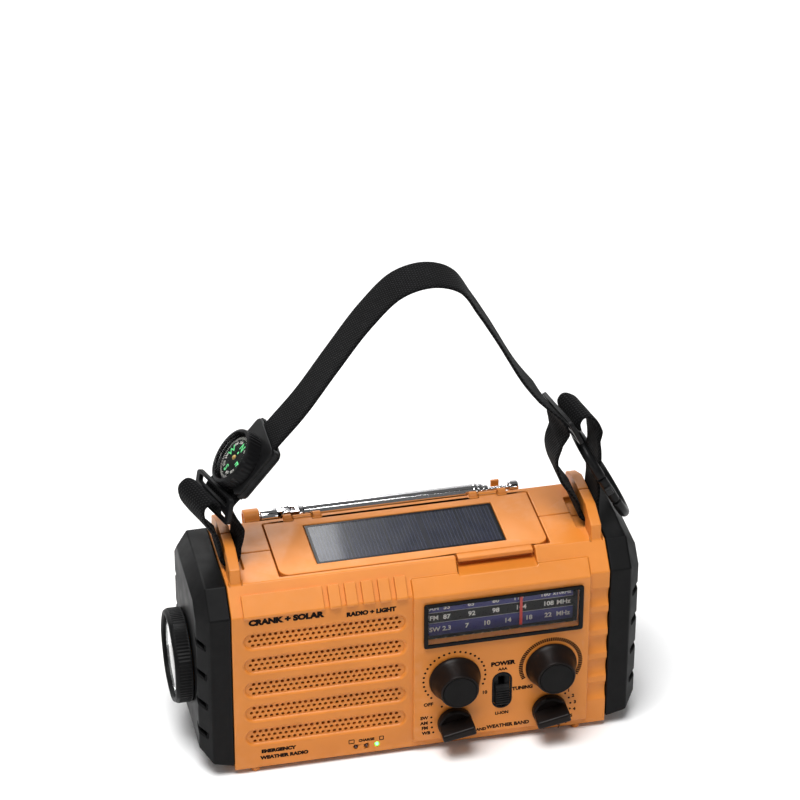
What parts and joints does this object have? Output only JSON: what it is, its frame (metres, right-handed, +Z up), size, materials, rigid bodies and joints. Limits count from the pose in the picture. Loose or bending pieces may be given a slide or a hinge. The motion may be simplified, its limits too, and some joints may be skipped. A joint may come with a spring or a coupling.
{
  "type": "emergency radio",
  "caption": "Crank and solar emergency radio with dial, knobs, flashlight, folding aerial, compass strap and snap hook.",
  "frame": {"origin": "middle of the lowest face of the bounding box, on the plane under the feet", "axes": "+X to the right as seen from the dial side, +Y to the back, +Z up"},
  "size_m": [0.1975, 0.0786, 0.2147],
  "materials": {
    "housing": "fine spark texture, satin",
    "black_shell": "satin black",
    "dial_bezel": "gloss black",
    "reflector": "mirror-coated",
    "clear_lens": "clear polished",
    "led_emitter": "phosphor under clear resin",
    "dial_print": "printed card",
    "pointer_red": "red",
    "knob_plastic": "satin black",
    "rubber": "matte",
    "button_red": "matte red",
    "steel": "bright",
    "paper_cone": "treated paper",
    "circuit_board": "solder-mask green",
    "white_plastic": "natural nylon",
    "battery_wrap": "shrink-wrap",
    "battery_can": "printed sleeve",
    "diffuser": "frosted",
    "solar_cells": "resin over dark cells",
    "chrome": "plated",
    "brass": "cut brass",
    "webbing": "woven nylon webbing",
    "compass_print": "printed card",
    "carabiner": "moulded gloss black"
  },
  "bodies": {
    "radio_body": {"front_shell": "housing", "rear_shell": "housing", "left_end_cap": "black_shell", "right_end_cap": "black_shell", "flashlight_bezel": "black_shell", "flashlight_reflector": "reflector", "flashlight_lens": "clear_lens", "flashlight_led": "led_emitter", "dial_frame": "dial_bezel", "dial_window": "clear_lens", "dial_card": "dial_print", "light_guide": "clear_lens", "speaker_frame": "steel", "speaker_cone": "paper_cone", "speaker_magnet": "steel", "main_board": "circuit_board", "tuning_capacitor": "white_plastic", "battery_pack": "battery_wrap", "aaa_cell_1": "battery_can", "aaa_cell_2": "battery_can", "aaa_cell_3": "battery_can", "reading_lamp": "diffuser", "generator": "steel", "port_block": "knob_plastic", "rear_screw_1": "steel", "rear_screw_2": "steel", "rear_screw_3": "steel", "rear_screw_4": "steel", "strap_webbing": "webbing", "triglide_left": "knob_plastic", "triglide_right": "knob_plastic", "compass_holder": "knob_plastic", "compass_dome": "clear_lens"},
    "solar_lid": {"solar_lid": "housing", "solar_panel": "solar_cells"},
    "antenna_swivel": {"antenna_base": "chrome"},
    "antenna_mast": {"antenna_knuckle": "chrome", "antenna_tube": "chrome"},
    "antenna_stage_2": {"antenna_section_2": "chrome"},
    "antenna_stage_3": {"antenna_section_3": "chrome"},
    "antenna_stage_4": {"antenna_tip": "chrome"},
    "crank": {"crank_hub": "black_shell", "crank_gear": "white_plastic"},
    "crank_arm": {"crank_arm": "black_shell"},
    "crank_knob": {"crank_knob": "knob_plastic"},
    "idler": {"idler_gear": "white_plastic"},
    "pinion": {"generator_pinion": "brass"},
    "volume_knob": {"volume_knob": "knob_plastic"},
    "tuning_knob": {"tuning_knob": "knob_plastic"},
    "tuning_pointer": {"tuning_pointer": "pointer_red"},
    "band_knob": {"band_knob": "knob_plastic"},
    "weather_knob": {"weather_knob": "knob_plastic"},
    "power_slider": {"power_slider": "knob_plastic"},
    "flashlight_button": {"flashlight_button": "rubber"},
    "sos_button": {"sos_button": "button_red"},
    "battery_door": {"battery_door": "housing"},
    "port_cover": {"port_cover": "rubber"},
    "compass_card": {"compass_card": "compass_print"},
    "carabiner": {"carabiner_body": "carabiner"},
    "carabiner_gate": {"carabiner_gate": "carabiner"}
  },
  "joints": [
    {"name": "lid_hinge", "type": "hinge", "parent": "radio_body", "child": "solar_lid", "pos_m": [0.00283, 0.0259, 0.0897], "axis": [-1, 0, 0], "range_deg": [0, 90]},
    {"name": "antenna_swivel", "type": "hinge", "parent": "radio_body", "child": "antenna_swivel", "pos_m": [-0.04717, 0.032, 0.088], "axis": [-1, 0, 0], "range_deg": [0, 90]},
    {"name": "antenna_fold", "type": "hinge", "parent": "antenna_swivel", "child": "antenna_mast", "pos_m": [-0.04267, 0.032, 0.088], "axis": [0, -1, 0], "range_deg": [0, 90]},
    {"name": "antenna_slide_2", "type": "slide", "parent": "antenna_mast", "child": "antenna_stage_2", "axis": [1, 0, 0], "range_m": [0, 0.062]},
    {"name": "antenna_slide_3", "type": "slide", "parent": "antenna_stage_2", "child": "antenna_stage_3", "axis": [1, 0, 0], "range_m": [0, 0.062]},
    {"name": "antenna_slide_4", "type": "slide", "parent": "antenna_stage_3", "child": "antenna_stage_4", "axis": [1, 0, 0], "range_m": [0, 0.062]},
    {"name": "crank_spin", "type": "hinge", "parent": "radio_body", "child": "crank", "pos_m": [-0.02147, 0.0245, 0.0435], "axis": [0, 1, 0], "continuous": true},
    {"name": "crank_unfold", "type": "hinge", "parent": "crank", "child": "crank_arm", "pos_m": [-0.03047, 0.0371, 0.0435], "axis": [0, 0, 1], "range_deg": [0, 180]},
    {"name": "crank_knob_spin", "type": "hinge", "parent": "crank_arm", "child": "crank_knob", "pos_m": [-0.00047, 0.0245, 0.0435], "axis": [0, 1, 0], "continuous": true},
    {"name": "idler_spin", "type": "hinge", "parent": "radio_body", "child": "idler", "pos_m": [-0.00107, 0.0095, 0.0435], "axis": [0, 1, 0], "continuous": true},
    {"name": "pinion_spin", "type": "hinge", "parent": "radio_body", "child": "pinion", "pos_m": [-0.00107, 0.0095, 0.0231], "axis": [0, 1, 0], "continuous": true},
    {"name": "volume_turn", "type": "hinge", "parent": "radio_body", "child": "volume_knob", "pos_m": [0.01633, -0.0285, 0.037], "axis": [0, -1, 0], "range_deg": [-180, 120]},
    {"name": "tuning_turn", "type": "hinge", "parent": "radio_body", "child": "tuning_knob", "pos_m": [0.05783, -0.0285, 0.0375], "axis": [0, -1, 0], "range_deg": [-350, 690]},
    {"name": "pointer_slide", "type": "slide", "parent": "radio_body", "child": "tuning_pointer", "axis": [1, 0, 0], "range_m": [-0.0375, 0.0192]},
    {"name": "band_turn", "type": "hinge", "parent": "radio_body", "child": "band_knob", "pos_m": [0.01643, -0.0285, 0.0145], "axis": [0, -1, 0], "range_deg": [-50, 25]},
    {"name": "weather_turn", "type": "hinge", "parent": "radio_body", "child": "weather_knob", "pos_m": [0.05743, -0.0285, 0.0147], "axis": [0, -1, 0], "range_deg": [-60, 120]},
    {"name": "power_slide", "type": "slide", "parent": "radio_body", "child": "power_slider", "axis": [0, 0, 1], "range_m": [0, 0.0044]},
    {"name": "flashlight_press", "type": "slide", "parent": "radio_body", "child": "flashlight_button", "axis": [0, -1, 0], "range_m": [0, 0.0012], "stiffness_N_per_m": 400},
    {"name": "sos_press", "type": "slide", "parent": "radio_body", "child": "sos_button", "axis": [0, -1, 0], "range_m": [0, 0.0012], "stiffness_N_per_m": 400},
    {"name": "battery_door_tilt", "type": "hinge", "parent": "radio_body", "child": "battery_door", "pos_m": [0.04883, 0.0355, 0.0344], "axis": [-1, 0, 0], "range_deg": [0, 75]},
    {"name": "port_cover_hinge", "type": "hinge", "parent": "radio_body", "child": "port_cover", "pos_m": [0.06383, 0.0374, 0.0155], "axis": [-1, 0, 0], "range_deg": [0, 110]},
    {"name": "compass_card_turn", "type": "hinge", "parent": "radio_body", "child": "compass_card", "pos_m": [-0.06802, 0.0045, 0.13742], "axis": [-0.775, 0, 0.632], "continuous": true},
    {"name": "carabiner_swing", "type": "hinge", "parent": "radio_body", "child": "carabiner", "pos_m": [0.07583, 0.0045, 0.1275], "axis": [0, -1, 0], "range_deg": [0, 20]},
    {"name": "carabiner_gate_swing", "type": "hinge", "parent": "carabiner", "child": "carabiner_gate", "pos_m": [0.0893, -0.0089, 0.10294], "axis": [0.8768, 0, 0.4809], "range_deg": [0, 25], "stiffness_Nm_per_rad": 0.02}
  ],
  "couplings": [
    {"joint": "idler_spin", "follows": "crank_spin", "ratio": -2.3333},
    {"joint": "pinion_spin", "follows": "crank_spin", "ratio": 7},
    {"joint": "pointer_slide", "follows": "tuning_turn", "m_per_rad": -0.003114}
  ]
}
